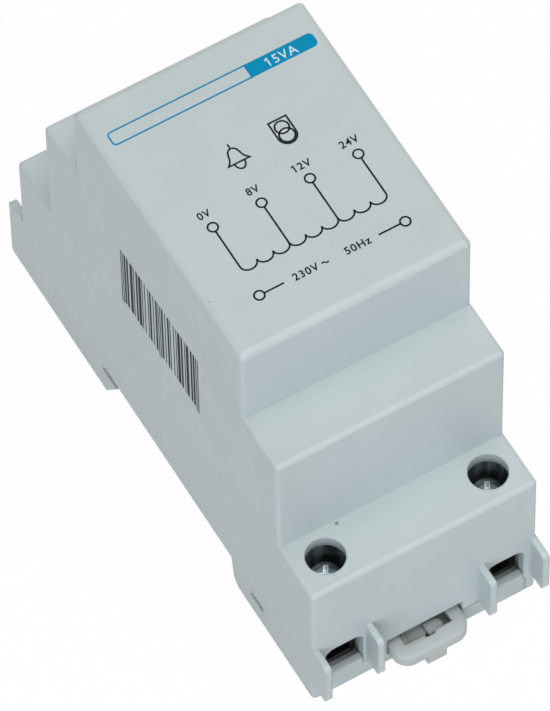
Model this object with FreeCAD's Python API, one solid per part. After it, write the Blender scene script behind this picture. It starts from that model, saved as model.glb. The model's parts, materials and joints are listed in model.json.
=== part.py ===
import FreeCAD, Part
import os

# Bell transformer for a 35 mm top-hat rail, two modules wide, lying on its back.
# Millimetres. The origin is on the resting plane under the middle of the part.
# +Z points out of the front face, X runs along the rail and +Y is the four-terminal end.

V = FreeCAD.Vector

# Stepped housing
width = 35.8
front_length = 45.0
shoulder_length = 63.0
body_length = 81.0
depth = 66.0
shoulder_drop = 16.0
wall = 1.6
front_round = 1.1
edge_round = 0.7

# Rail seat and its hook
rail_width = 35.0
rail_flange = 1.0
seat_height = 6.0
rail_gap = 0.3
clip_side_gap = 0.7
hook_overlap = 3.9
hook_slant = 3.1
foot_round = 2.2
foot_slant = 0.5

# Fins beside the wire entries
fin_reach = 3.5
fin_thickness = 1.05
fin_top = 13.35
fin_bottom = 4.4
fin_round = 0.8

# Wire entries and screw holes
window_width = 6.1
window_top = 11.4
window_round = 1.6
sill_height = 4.6
sill_depth = 1.1
screw_hole = 5.7
fin_to_window = 0.3

# Base plate that snaps into the cover
base_gap = 0.15
seam_gap = 0.1
plate_thickness = 1.4
plate_top = 3.3
terminal_floor = 3.3
foot_wall = 1.5
snap_length = 3.4
snap_height = 1.4
snap_bottom = 3.3
snap_place = 25.1
snap_reach = 0.9
post_height = 4.0
pad_width = 2.0

# Rail clip
clip_width = 11.6
clip_thickness = 2.0
clip_below_seat = 2.0
clip_gap = 0.25
notch_gap = 0.6
clip_reach = 3.4
clip_travel = 4.0
clip_corner = 2.4
clip_ease = 0.25
clip_overlap = 2.1
nose_length = 3.0
slot_width = 7.5
slot_length = 3.2
slot_border = 2.4
slot_floor = 0.35
slot_notch_width = 1.5
slot_notch_depth = 0.45
catch_start = 0.1
catch_length = 2.6
catch_depth = 2.0
catch_drop = 0.7
catch_round = 0.95
ledge_setback = 0.5
ledge_drop = 1.1
ledge_width = 0.9
lip_tab_width = 3.0
lip_tab_length = 1.3
lip_tab_lift = 0.15
lip_width = 1.2

# Box clamps
cage_width = 6.0
cage_depth = 5.4
cage_wall = 0.9
nut_thickness = 2.4
cage_gap = 0.3
wire_height = 6.2
clamp_travel = 4.8
terminal_inset = 4.9
secondary_count = 4
secondary_inset = 0.95
bar_width = 3.9
bar_thickness = 1.0
bar_gap = 0.05
bar_bend = 1.5
tail_height = 6.9
tail_setback = 1.0

# Clamp screws
screw_size = 3.5
screw_clearance = 0.08
head_size = 5.2
head_height = 1.9
head_sink = 5.45
cross_width = 0.9
cross_length = 3.4
cross_depth = 1.2
shelf_thickness = 1.4

# Transformer
stack = 15.0
core_gap = 0.9
core_lift = 1.4
rib_height = 7.4
rib_thickness = 1.2
bobbin_wall = 1.0
bobbin_gap = 0.2
bobbin_side_gap = 1.1
winding_inset = 1.4
winding_round = 3.5
tape_thickness = 0.25
cutout_length = 7.5
cutout_height = 5.0
cutout_gap = 0.4
lead_size = 1.3
lead_drop = 12.5

# Heights of a lamination's edges in leg widths: leg, window, double centre leg, window, leg
leg_steps = (0, 1, 2, 4, 5, 6)

# How near two places are when they count as one, and how a swept run turns its corner
tiny = 1e-6
mitred = 1

# Heights and half lengths that follow
half_width = width / 2
inner_half = half_width - wall
front_half = front_length / 2
shoulder_half = shoulder_length / 2
body_half = body_length / 2
shoulder_z = depth - shoulder_drop
ceiling_z = depth - wall
inner_end = body_half - wall

base_half = inner_half - base_gap
base_end = inner_end - base_gap
floor_top = seat_height + wall

hook_wall = rail_width / 2 + rail_gap
hook_tip = hook_wall - hook_overlap
hook_under = seat_height - rail_flange - rail_gap
clip_wall = rail_width / 2 + clip_side_gap

terminal_y = body_half - terminal_inset
terminal_x = base_half - cage_gap - cage_width / 2
secondary_x = terminal_x - secondary_inset
secondary_pitch = 2 * secondary_x / (secondary_count - 1)
primary_places = [-terminal_x, terminal_x]
secondary_places = [secondary_x - i * secondary_pitch for i in range(secondary_count)]
secondary_gaps = [(a + b) / 2 for a, b in zip(secondary_places, secondary_places[1:])]

cage_bottom = terminal_floor + seam_gap
cage_floor = cage_bottom + cage_wall
bar_bottom = cage_floor + wire_height
bar_top = bar_bottom + bar_thickness
cage_ceiling = bar_top + cage_gap
cage_top = cage_ceiling + nut_thickness
shelf_bottom = cage_top + clamp_travel + 2 * cage_gap
shelf_top = shelf_bottom + shelf_thickness
head_bottom = shelf_top + bar_gap
head_top = head_bottom + head_height
terminal_z = head_top + head_sink
screw_tip = bar_top + bar_gap
pocket_front = terminal_y + cage_depth / 2
pocket_back = terminal_y - cage_depth / 2 - cage_gap
back_wall_inner = pocket_back - foot_wall
tail_outer = back_wall_inner - tail_setback
tail_inner = tail_outer - bar_thickness
tail_top = bar_bottom + tail_height
tail_y = (tail_outer + tail_inner) / 2
lead_end = tail_top + lead_size / 2

clip_top = seat_height - clip_below_seat
clip_bottom = clip_top - clip_thickness
clip_middle = (clip_top + clip_bottom) / 2
clip_half = clip_width / 2
clip_end = body_half + clip_reach
nose_tip = rail_width / 2 - clip_overlap
nose_top = seat_height - rail_flange - cage_gap / 2
channel_half = clip_half + clip_gap
channel_wall = channel_half + foot_wall
channel_top = nose_top + clip_gap
notch_top = channel_top + notch_gap

core_bottom = floor_top + core_lift
core_height = ceiling_z - rib_height - core_bottom
core_leg = core_height / leg_steps[-1]
core_half = front_half - wall - core_gap
core_mid = core_bottom + core_height / 2
core_window = core_half - core_leg
rib_place = core_half - core_leg / 2
tube_half_x = stack / 2 + bobbin_gap + bobbin_wall
tube_half_z = core_leg + bobbin_gap + bobbin_wall
flange_half_x = inner_half - bobbin_side_gap
flange_half_z = 2 * core_leg - bobbin_gap
coil_half = core_window - bobbin_gap
lead_z = core_mid - lead_drop
lead_turn = core_half + lead_size


def block(x0, x1, y0, y1, z0, z1):
    return Part.makeBox(x1 - x0, y1 - y0, z1 - z0, V(x0, y0, z0))


def mirrored_pair(x0, x1, y0, y1, z0, z1):
    return [block(x0, x1, y0, y1, z0, z1), block(-x1, -x0, y0, y1, z0, z1)]


def rod(radius, x, y, z0, z1):
    return Part.makeCylinder(radius, z1 - z0, V(x, y, z0))


def outline(points):
    return Part.Face(Part.makePolygon(points + [points[0]]))


def prism_x(points, x0, x1):
    face = outline([V(x0, y, z) for y, z in points])
    return face.extrude(V(x1 - x0, 0, 0))


def join(shapes):
    return shapes[0].multiFuse(shapes[1:]).removeSplitter()


def edges_where(shape, test):
    return [edge for edge in shape.Edges if test(edge)]


def is_upright(edge):
    ends = [vertex.Point for vertex in edge.Vertexes]
    return len(ends) == 2 and (ends[0] - ends[1]).cross(V(0, 0, 1)).Length < tiny


def round_upright(shape, radius):
    return shape.makeFillet(radius, edges_where(shape, is_upright))


def far_end(shape):
    turned = shape.copy()
    turned.rotate(V(0, 0, 0), V(0, 0, 1), 180)
    return turned


def hollow_block(half, top):
    return block(-inner_half, inner_half, -half + wall, half - wall, -wall, top - wall)


def stepped_block(half, top, round_top):
    """One step of the housing, with its corners and its top edges rounded."""
    body = round_upright(block(-half_width, half_width, -half, half, 0, top), edge_round)
    rim = edges_where(body, lambda edge: edge.BoundBox.ZMin > top - tiny)
    return body.makeFillet(round_top, rim)


def rail_recess(x0, x1):
    """The rail slot: a groove under the hook at +Y, a slanted and rounded foot at the clip."""
    low = -seat_height
    lean = clip_wall + foot_slant
    points = [
        (hook_tip + hook_slant, low),
        (hook_tip + hook_slant, 0),
        (hook_tip, hook_under),
        (hook_wall, hook_under),
        (hook_wall, seat_height),
        (-clip_wall, seat_height),
        (-lean, foot_round),
        (-lean, low),
    ]
    slot = prism_x(points, x0, x1)
    centre = -lean - foot_round
    corner = block(x0, x1, centre, -lean + seam_gap, low, foot_round)
    corner = corner.cut(Part.makeCylinder(foot_round, x1 - x0, V(x0, centre, foot_round), V(1, 0, 0)))
    return join([slot, corner])


def window_cutter(x):
    """A wire entry with a round-shouldered top, cut through the end wall at -Y."""
    half = window_width / 2
    body = block(x - half, x + half, -body_half - wall, -inner_end + wall, -wall, window_top)
    top_edges = edges_where(body, lambda edge: edge.BoundBox.ZMin > window_top - tiny)
    shoulders = [edge for edge in top_edges if edge.BoundBox.YLength > wall]
    return body.makeFillet(window_round, shoulders)


def fin(x, bottom):
    """A guard fin at the -Y end, sunk into the end wall, with a rounded tip."""
    tip = -body_half - fin_reach
    body = block(x - fin_thickness / 2, x + fin_thickness / 2, tip, -inner_end, bottom, fin_top)
    tip_edges = edges_where(body, lambda edge: edge.BoundBox.YMax < tip + tiny)
    return body.makeFillet(fin_round, [edge for edge in tip_edges if not is_upright(edge)])


def screw_hole_cutter(x):
    return rod(screw_hole / 2, x, -terminal_y, terminal_z - 2 * wall, terminal_z + wall)


def end_fins(places, bottom):
    outer = half_width - fin_thickness / 2
    return [fin(x, bottom) for x in [-outer, outer]] + [fin(x, fin_bottom) for x in places]


def end_cutters(places):
    """The space for the base's end plate, the wire entries and the screw holes, at -Y."""
    bottom = block(
        -base_half - seam_gap,
        base_half + seam_gap,
        -body_half - wall,
        -inner_end + wall,
        -wall,
        plate_top + seam_gap,
    )
    cutters = [bottom]
    for x in places:
        cutters.append(window_cutter(x))
        cutters.append(screw_hole_cutter(x))
    return cutters


def make_cover():
    steps = [
        (front_half, depth, front_round),
        (shoulder_half, shoulder_z, edge_round),
        (body_half, terminal_z, edge_round),
    ]
    inner_fin = terminal_x - window_width / 2 - fin_to_window - fin_thickness / 2
    fins = end_fins([-inner_fin, inner_fin], fin_bottom)
    fins += [far_end(piece) for piece in end_fins(secondary_gaps, 0)]
    shell = join([stepped_block(*step) for step in steps] + fins)
    shell = shell.cut(join([hollow_block(half, top) for half, top, _ in steps]))

    cutters = end_cutters(primary_places)
    cutters += [far_end(piece) for piece in end_cutters(secondary_places)]
    cutters.append(block(-channel_half, channel_half, -body_half - wall, -inner_end + wall, 0, notch_top))
    cutters.append(rail_recess(-width, width))
    cutters += mirrored_pair(
        inner_half - wall,
        width,
        -snap_place - snap_length / 2,
        -snap_place + snap_length / 2,
        snap_bottom,
        snap_bottom + snap_height,
    )
    for cutter in cutters:
        shell = shell.cut(cutter)

    rib_bottom = core_bottom + core_height + base_gap
    ribs = [
        block(
            -inner_half,
            inner_half,
            side * rib_place - rib_thickness / 2,
            side * rib_place + rib_thickness / 2,
            rib_bottom,
            ceiling_z,
        )
        for side in (-1, 1)
    ]
    return join([shell] + ribs)


def partition_spans(places, half):
    """Where the walls beside the pockets run; the wide gap over the clip gets two thin ones."""
    spans = []
    ordered = sorted(places)
    lefts = [-base_half] + [x + half for x in ordered]
    rights = [x - half for x in ordered] + [base_half]
    for left, right in zip(lefts, rights):
        if right - left > 2 * half:
            spans += [(left, left + foot_wall), (right - foot_wall, right)]
        elif right - left > tiny:
            spans.append((left, right))
    return spans


def pocket_walls(places):
    """Partitions, back wall and slotted shelf that hold the clamps of one end, at -Y."""
    half = cage_width / 2 + cage_gap
    throat = screw_size / 2 + 2 * screw_clearance
    low = terminal_floor - plate_thickness
    pieces = [block(-base_half, base_half, -pocket_back, -back_wall_inner, low, shelf_top)]
    for left, right in partition_spans(places, half):
        pieces.append(block(left, right, -base_end, -back_wall_inner, low, shelf_top))
    for x in places:
        shelf = block(x - half, x + half, -base_end, -back_wall_inner, shelf_bottom, shelf_top)
        cut_low = shelf_bottom - wall
        cut_high = shelf_top + wall
        shelf = shelf.cut(rod(throat, x, -terminal_y, cut_low, cut_high))
        shelf = shelf.cut(block(x - throat, x + throat, -base_end - wall, -terminal_y, cut_low, cut_high))
        pieces.append(shelf)
        pieces.append(block(x - half, x + half, -base_end, -back_wall_inner, low, terminal_floor))
    return pieces


def bar_slots(places):
    half = bar_width / 2 + bar_gap
    front = -pocket_back - wall
    back = -back_wall_inner + wall
    return [block(x - half, x + half, front, back, bar_bottom - bar_gap, bar_top + bar_gap) for x in places]


def end_plate(places):
    """The strip under the end wall with one sill for each wire entry, at -Y."""
    outer = -body_half
    pieces = [
        block(-base_half, base_half, outer, outer + plate_thickness, 0, plate_top),
        block(-base_half, base_half, outer, -base_end + foot_wall, plate_top - plate_thickness, plate_top),
    ]
    half = window_width / 2 - seam_gap
    for x in places:
        pieces.append(block(x - half, x + half, outer, outer + sill_depth, 0, sill_height))
    return pieces


def foot_skirts(inner):
    """The two long walls of the -Y foot, lower beside the clamps."""
    pieces = mirrored_pair(base_half - foot_wall, base_half, -back_wall_inner, -inner, 0, seat_height)
    pieces += mirrored_pair(base_half - foot_wall, base_half, -base_end, -back_wall_inner, 0, terminal_floor)
    return pieces


def clip_foot():
    """The -Y foot with the guide of the rail clip."""
    lean = clip_wall + foot_slant
    inner_end_wall = prism_x(
        [
            (-clip_wall - seam_gap, seat_height),
            (-lean - seam_gap, foot_round),
            (-lean - foot_round - seam_gap, 0),
            (-lean - foot_round - foot_wall - seam_gap, 0),
            (-lean - foot_wall - seam_gap, foot_round),
            (-clip_wall - foot_wall - seam_gap, seat_height),
        ],
        -base_half,
        base_half,
    )
    inner = -lean - foot_wall
    beyond = -clip_wall + wall
    lip_top = clip_bottom - clip_gap
    lip_half = clip_half - lip_width
    passage = block(-channel_half, channel_half, -body_half - wall, beyond, lip_top, channel_top)
    below = block(-lip_half, lip_half, -base_end, beyond, -wall, clip_bottom)
    guide = [
        block(-channel_wall, channel_wall, -base_end, inner, channel_top, seat_height),
        block(-channel_half, channel_half, -body_half + seam_gap, -base_end + foot_wall, 0, lip_top),
    ]
    guide += mirrored_pair(channel_half, channel_wall, -base_end, inner, 0, seat_height)
    guide += mirrored_pair(
        lip_half,
        channel_half,
        -base_end + 2 * foot_wall,
        inner - foot_wall,
        0,
        clip_bottom - clip_gap / 2,
    )
    return inner_end_wall.cut(passage).cut(below), guide, passage


def hold_down_ribs():
    """Ribs over the clip that keep it level, with cross ribs that stop its nib."""
    near = -base_end + foot_wall
    far = -snap_place + foot_wall
    low = clip_top + clip_gap / 2
    half = slot_width / 2
    inner_rib = far - foot_wall
    outer_rib = inner_rib - clip_travel - 2 * foot_wall - 2 * seam_gap
    pieces = mirrored_pair(half - lip_width, half, near, far, low, channel_top)
    for place in (inner_rib, outer_rib):
        pieces.append(block(-half, half, place, place + foot_wall, low, channel_top))
    return pieces


def clip_nib_span():
    """Where the clip's stop nib lies at rest, just outside the inner cross rib."""
    inner = -snap_place - seam_gap
    return inner - foot_wall, inner


def hook_foot():
    """The +Y foot with the fixed hook that takes the rail's edge."""
    hook = prism_x(
        [
            (hook_wall + foot_wall, seat_height),
            (hook_wall, seat_height),
            (hook_wall, hook_under),
            (hook_tip, hook_under),
            (hook_tip + hook_slant, 0),
            (hook_wall + foot_wall, 0),
        ],
        -base_half,
        base_half,
    )
    ribs = [
        block(
            place - foot_wall / 2,
            place + foot_wall / 2,
            hook_wall,
            base_end,
            0,
            terminal_floor - plate_thickness,
        )
        for place in secondary_gaps
    ]
    webs = [
        block(
            place - foot_wall / 2,
            place + foot_wall / 2,
            hook_wall,
            back_wall_inner + foot_wall / 2,
            0,
            seat_height,
        )
        for place in secondary_gaps
    ]
    return [hook] + ribs + webs


def core_cradle(side):
    """A pad under the core stack with two posts beside it."""
    y0 = side * rib_place - pad_width / 2
    y1 = side * rib_place + pad_width / 2
    post_in = stack / 2 + seam_gap
    pieces = [block(-post_in - foot_wall, post_in + foot_wall, y0, y1, floor_top, core_bottom)]
    pieces += mirrored_pair(post_in, post_in + foot_wall, y0, y1, floor_top, core_bottom + post_height)
    return pieces


def make_base():
    floor = block(-base_half, base_half, -pocket_back, pocket_back, seat_height, floor_top)
    middle = block(-channel_wall, channel_wall, -base_end, -back_wall_inner, seat_height, floor_top)
    inner_wall, guide, passage = clip_foot()
    pieces = [floor, middle, inner_wall] + guide + hook_foot()
    pieces += pocket_walls(primary_places) + end_plate(primary_places)
    pieces += [far_end(piece) for piece in pocket_walls(secondary_places) + end_plate(secondary_places)]
    pieces += foot_skirts(clip_wall + foot_slant + foot_round)
    pieces += [far_end(piece) for piece in foot_skirts(hook_wall)]
    pieces += core_cradle(-1) + core_cradle(1)
    pieces += mirrored_pair(
        base_half - foot_wall,
        base_half + snap_reach,
        -snap_place - snap_length / 2 + 2 * seam_gap,
        -snap_place + snap_length / 2 - 2 * seam_gap,
        snap_bottom + 2 * seam_gap,
        snap_bottom + snap_height - 2 * seam_gap,
    )
    base = join(pieces)
    base = base.cut(passage)
    for slot in bar_slots(primary_places) + [far_end(piece) for piece in bar_slots(secondary_places)]:
        base = base.cut(slot)
    return join([base] + hold_down_ribs())


def slot_fittings(slot_end):
    """What stands in the pull's recess: a round-ended catch, a ledge behind it and an end block."""
    left = -slot_width / 2
    back = slot_end + slot_length
    catch_tip = catch_start + catch_length
    catch_top = clip_top - catch_drop
    catch = block(catch_start, catch_tip, slot_end, slot_end + catch_depth, clip_bottom, catch_top)
    round_end = edges_where(catch, lambda e: is_upright(e) and e.BoundBox.XMin > catch_tip - tiny)
    catch = catch.makeFillet(catch_round, round_end)
    ledge = block(left, catch_start, slot_end + ledge_setback, back, clip_bottom, clip_top - ledge_drop)
    end_block = block(left, left + ledge_width, slot_end, back, clip_bottom, catch_top)
    return [catch, ledge, end_block]


def make_clip():
    """The sliding rail clip: a flat tongue with a nose at the rail and a recessed pull at the end."""
    profile = [
        (-clip_end, clip_bottom),
        (-nose_tip - nose_length, clip_bottom),
        (-nose_tip, clip_top),
        (-nose_tip, nose_top),
        (-nose_tip - nose_length, nose_top),
        (-nose_tip - nose_length - clip_gap, clip_top),
        (-clip_end, clip_top),
    ]
    body = prism_x(profile, -clip_half, clip_half)
    corners = edges_where(body, lambda e: is_upright(e) and e.BoundBox.YMax < -clip_end + tiny)
    body = body.makeFillet(clip_corner, corners)
    rim = edges_where(body, lambda e: e.BoundBox.YMax < -body_half and e.BoundBox.ZMin > clip_top - tiny)
    body = body.makeChamfer(clip_ease, rim)
    slot_end = -clip_end + slot_border
    slot = block(
        -slot_width / 2,
        slot_width / 2,
        slot_end,
        slot_end + slot_length,
        clip_bottom + slot_floor,
        clip_top + wall,
    )
    notch = block(
        catch_start - slot_notch_width / 2,
        catch_start + slot_notch_width / 2,
        slot_end - slot_notch_depth,
        slot_end + slot_notch_depth,
        clip_bottom + slot_floor,
        clip_top + wall,
    )
    tab = block(
        -lip_tab_width / 2,
        lip_tab_width / 2,
        -clip_end,
        -clip_end + lip_tab_length,
        lip_tab_lift,
        clip_middle,
    )
    nib_outer, nib_inner = clip_nib_span()
    nib_half = slot_width / 2 - lip_width - clip_gap
    nib = block(-nib_half, nib_half, nib_outer, nib_inner, clip_middle, channel_top - clip_gap / 2)
    return join([body.cut(slot).cut(notch), tab, nib] + slot_fittings(slot_end))


def make_screw(x):
    """A captive clamp screw: head with a cross recess, and a plain shank for the thread."""
    head = rod(head_size / 2, x, -terminal_y, head_bottom, head_top)
    for along, across in ((cross_length, cross_width), (cross_width, cross_length)):
        recess = block(
            x - along / 2,
            x + along / 2,
            -terminal_y - across / 2,
            -terminal_y + across / 2,
            head_top - cross_depth,
            head_top + wall,
        )
        head = head.cut(recess)
    shank = rod(screw_size / 2, x, -terminal_y, screw_tip, head_bottom + seam_gap)
    return join([head, shank])


def make_cage(x):
    """A box clamp folded round the wire space, with a thick threaded top."""
    half = cage_width / 2
    front = -pocket_front
    back = -pocket_front + cage_depth
    frame = block(x - half, x + half, front, back, cage_bottom, cage_top)
    floor_edges = edges_where(frame, lambda edge: edge.BoundBox.ZMax < cage_bottom + tiny)
    bends = [edge for edge in floor_edges if edge.BoundBox.YLength > cage_depth / 2]
    frame = frame.makeFillet(cage_wall, bends)
    opening = block(
        x - half + cage_wall, x + half - cage_wall, front - wall, back + wall, cage_floor, cage_ceiling
    )
    thread = rod(screw_size / 2 + screw_clearance, x, -terminal_y, cage_ceiling - wall, cage_top + wall)
    return frame.cut(opening).cut(thread)


def make_contact(x):
    """A bent contact bar: flat inside the clamp, with a solder tail turned up behind the wall."""
    front = -pocket_front - seam_gap
    bar = block(x - bar_width / 2, x + bar_width / 2, front, -tail_inner, bar_bottom, bar_top)
    tail = block(x - bar_width / 2, x + bar_width / 2, -tail_outer, -tail_inner, bar_bottom, tail_top)
    bent = join([bar, tail])
    heel = edges_where(
        bent,
        lambda e: e.BoundBox.XLength > bar_width / 2
        and abs(e.BoundBox.YMax + tail_inner) < tiny
        and abs(e.BoundBox.ZMin - bar_bottom) < tiny,
    )
    return bent.makeFillet(bar_bend, heel)


def e_profile():
    """The E-shaped lamination, open towards +Y, in Y and Z."""
    heights = [core_bottom + core_leg * step for step in leg_steps]
    points = [(-core_half, heights[0]), (core_window, heights[0]), (core_window, heights[1])]
    points += [(-core_window, heights[1]), (-core_window, heights[2]), (core_window, heights[2])]
    points += [(core_window, heights[3]), (-core_window, heights[3]), (-core_window, heights[4])]
    points += [(core_window, heights[4]), (core_window, heights[5]), (-core_half, heights[5])]
    return points


def make_core():
    e_stack = prism_x(e_profile(), -stack / 2, stack / 2)
    i_stack = block(-stack / 2, stack / 2, core_window, core_half, core_bottom, core_bottom + core_height)
    return e_stack, i_stack


def coil_ring(half_x, half_z, corner, y0, y1):
    """A solid rounded slab round the centre leg's axis, from y0 to y1."""
    slab = block(-half_x, half_x, y0, y1, core_mid - half_z, core_mid + half_z)
    along = edges_where(slab, lambda edge: edge.BoundBox.YLength > (y1 - y0) / 2)
    return slab.makeFillet(corner, along)


def make_bobbin():
    low = core_mid - tube_half_z
    high = core_mid + tube_half_z
    pieces = [block(-tube_half_x, tube_half_x, -coil_half, coil_half, low, high)]
    flange_low = core_mid - flange_half_z
    flange_high = core_mid + flange_half_z
    for place in (-coil_half, -bobbin_wall / 2, coil_half - bobbin_wall):
        end = place + bobbin_wall
        pieces.append(block(-flange_half_x, flange_half_x, place, end, flange_low, flange_high))
    hole_x = stack / 2 + bobbin_gap
    hole_z = core_leg + bobbin_gap
    hole = block(-hole_x, hole_x, -coil_half - wall, coil_half + wall, core_mid - hole_z, core_mid + hole_z)
    return join(pieces).cut(hole)


def winding_span(side):
    inner = bobbin_wall / 2
    outer = coil_half - bobbin_wall
    return (inner, outer) if side > 0 else (-outer, -inner)


def make_winding(side):
    y0, y1 = winding_span(side)
    half_x = flange_half_x - winding_inset
    half_z = flange_half_z - winding_inset
    coil = coil_ring(half_x, half_z, winding_round, y0, y1)
    low = core_mid - tube_half_z
    high = core_mid + tube_half_z
    tube = block(-tube_half_x, tube_half_x, y0 - wall, y1 + wall, low, high)
    corner = winding_round + tape_thickness
    wrap = coil_ring(half_x + tape_thickness, half_z + tape_thickness, corner, y0, y1)
    return coil.cut(tube), wrap.cut(coil)


def make_cutout():
    """The thermal cut-out, a flat capsule against the taped side of the primary winding."""
    y0, y1 = winding_span(-1)
    middle = (y0 + y1) / 2
    inner = flange_half_x - winding_inset + tape_thickness
    body = block(
        inner,
        inner_half - cutout_gap,
        middle - cutout_length / 2,
        middle + cutout_length / 2,
        core_mid - cutout_height / 2,
        core_mid + cutout_height / 2,
    )
    lengthways = edges_where(body, lambda edge: edge.BoundBox.YLength > cutout_length / 2)
    outer = [edge for edge in lengthways if edge.BoundBox.XMin > inner + tiny]
    return body.makeFillet((inner_half - cutout_gap - inner) / 2, outer)


def make_lead(x, x_start):
    """An insulated lead from the bobbin's -Y flange to a contact's tail, bent past the core if need be."""
    points = [V(x_start, -coil_half, lead_z), V(x, -tail_y, lead_end)]
    if abs(x - x_start) > tiny:
        points.insert(1, V(x_start, -lead_turn, lead_z))
    path = Part.makePolygon(points)
    circle = Part.Wire(Part.makeCircle(lead_size / 2, points[0], V(0, 1, 0)))
    return path.makePipeShell([circle], True, False, mitred)


def lead_starts(places):
    """Where the leads leave the flange: outside the core stack, side by side."""
    starts = {}
    for side in (-1, 1):
        nearest = stack / 2 + lead_size + core_gap
        for reach in sorted(x * side for x in places if x * side > 0):
            start = max(reach, nearest)
            starts[reach * side] = start * side
            nearest = start + lead_size + core_gap
    return starts


def terminal_set(name, places, turn):
    """Screw, clamp, contact and lead of each terminal of one end."""
    nodes = {}
    starts = lead_starts(places)
    for number, x in enumerate(places, start=1):
        pieces = {
            "screw": make_screw(x),
            "clamp": make_cage(x),
            "contact": make_contact(x),
            "lead": make_lead(x, starts[x]),
        }
        for kind, shape in pieces.items():
            nodes[f"{name}_{kind}_{number}"] = far_end(shape) if turn else shape
    return nodes


def make_parts():
    e_stack, i_stack = make_core()
    primary_coil, primary_tape = make_winding(-1)
    secondary_coil, secondary_tape = make_winding(1)
    nodes = {
        "cover": make_cover(),
        "base": make_base(),
        "din_clip": make_clip(),
        "core_e_stack": e_stack,
        "core_i_stack": i_stack,
        "bobbin": make_bobbin(),
        "primary_winding": primary_coil,
        "primary_tape": primary_tape,
        "secondary_winding": secondary_coil,
        "secondary_tape": secondary_tape,
        "thermal_cutout": make_cutout(),
    }
    nodes.update(terminal_set("primary", primary_places, False))
    nodes.update(terminal_set("secondary", secondary_places, True))
    return nodes


def write_parts(nodes):
    os.makedirs("parts", exist_ok=True)
    for name, shape in nodes.items():
        shape.exportStep(f"parts/{name}.step")


write_parts(make_parts())
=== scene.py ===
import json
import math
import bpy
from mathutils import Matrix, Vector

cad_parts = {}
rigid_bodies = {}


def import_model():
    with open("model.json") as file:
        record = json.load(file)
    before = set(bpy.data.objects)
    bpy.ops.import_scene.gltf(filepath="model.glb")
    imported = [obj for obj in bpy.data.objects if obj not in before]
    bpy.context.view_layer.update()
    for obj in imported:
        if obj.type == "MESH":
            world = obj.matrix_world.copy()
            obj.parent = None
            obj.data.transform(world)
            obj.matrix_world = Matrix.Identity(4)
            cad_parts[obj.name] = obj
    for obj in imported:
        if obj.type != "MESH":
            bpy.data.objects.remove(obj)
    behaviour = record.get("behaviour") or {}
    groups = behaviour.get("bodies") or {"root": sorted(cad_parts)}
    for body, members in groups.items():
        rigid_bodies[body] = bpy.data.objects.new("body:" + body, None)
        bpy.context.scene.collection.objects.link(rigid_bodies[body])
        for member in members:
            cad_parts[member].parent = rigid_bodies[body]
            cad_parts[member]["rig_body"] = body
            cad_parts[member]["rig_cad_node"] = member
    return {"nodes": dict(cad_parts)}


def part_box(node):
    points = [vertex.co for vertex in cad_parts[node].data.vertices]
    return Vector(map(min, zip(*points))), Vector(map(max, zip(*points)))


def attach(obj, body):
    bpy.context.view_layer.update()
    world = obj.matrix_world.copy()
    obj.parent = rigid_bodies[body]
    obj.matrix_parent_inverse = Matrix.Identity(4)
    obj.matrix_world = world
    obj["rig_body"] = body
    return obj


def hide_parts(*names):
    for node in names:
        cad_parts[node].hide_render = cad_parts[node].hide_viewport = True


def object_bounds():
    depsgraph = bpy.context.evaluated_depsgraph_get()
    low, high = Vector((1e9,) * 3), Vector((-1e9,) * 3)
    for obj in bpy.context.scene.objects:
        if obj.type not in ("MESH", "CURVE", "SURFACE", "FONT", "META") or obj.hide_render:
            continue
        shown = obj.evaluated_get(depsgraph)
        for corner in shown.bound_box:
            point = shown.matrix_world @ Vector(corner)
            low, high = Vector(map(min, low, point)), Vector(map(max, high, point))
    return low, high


bl_info = {
    "name": "Bell transformer",
    "version": (1, 0, 0),
    "blender": (4, 5, 0),
    "location": "View3D > Sidebar > Bell transformer",
    "description": "Dresses a rail-mounted bell transformer: mouldings, terminals, print, studio",
    "category": "Object",
}

import bmesh
import bpy
from bpy.props import FloatProperty, FloatVectorProperty, PointerProperty
from mathutils import Matrix, Vector

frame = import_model()
cad_low, cad_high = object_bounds()

MM = 0.001
FRONT_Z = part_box("cover")[1].z
SIDE_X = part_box("cover")[0].x
TERMINALS = [("primary", n) for n in (1, 2)] + [("secondary", n) for n in (1, 2, 3, 4)]
# Points nearer than this are one point, in metres
MERGED = 1e-7
# Slack for heights and for the CAD meshes' own points, in metres
SLACK = 1e-6
# How far print starts below the plastic, so that no gap shows
INK_SINK = 0.005 * MM
# How far the floor lies below the part
FLOOR_GAP = 0.02 * MM
# Share of white in the floor as the camera sees it
FLOOR_WHITE = 0.985
# Point that the lamps face
LAMP_AIM = Vector((0, 0, 0.03))
# Turn of the first screw and from each screw to the next, in degrees
SCREW_TURN = (59.0, 93.0)
# The strip's block and outline: left, right, lower and upper edge and corner in millimetres
RATING_BLOCK = (5.6, 16.25, 14.85, 17.2, 0.8)
RATING_OUTLINE = (-15.65, 5.7, 14.95, 17.1, 0.55)
# Half of the bell's outline in millimetres: distance from its axis, and height
BELL_HALF = (
    (0.0, 6.62),
    (0.38, 6.5),
    (0.66, 6.2),
    (0.82, 5.75),
    (0.95, 5.2),
    (1.15, 4.75),
    (1.62, 4.2),
)
# Voltages and frequency: text, left, right and foot in millimetres
FIGURES = (
    ("0V", -11.75, -9.85, -1.1),
    ("8V", -4.2, -2.3, -1.1),
    ("12V", 3.15, 5.75, -1.1),
    ("24V", 10.35, 13.15, -1.1),
    ("230V", -5.5, -1.65, -15.75),
    ("50Hz", 2.5, 6.4, -15.75),
)
# Dirt on the cover: place and radius in millimetres
SPECKS = (
    (-8.96, -32.0, 28.4, 0.36),
    (8.35, -40.5, 3.6, 0.2),
    (-12.5, -40.5, 15.4, 0.13),
    (-7.8, -40.5, 17.0, 0.12),
)
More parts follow.
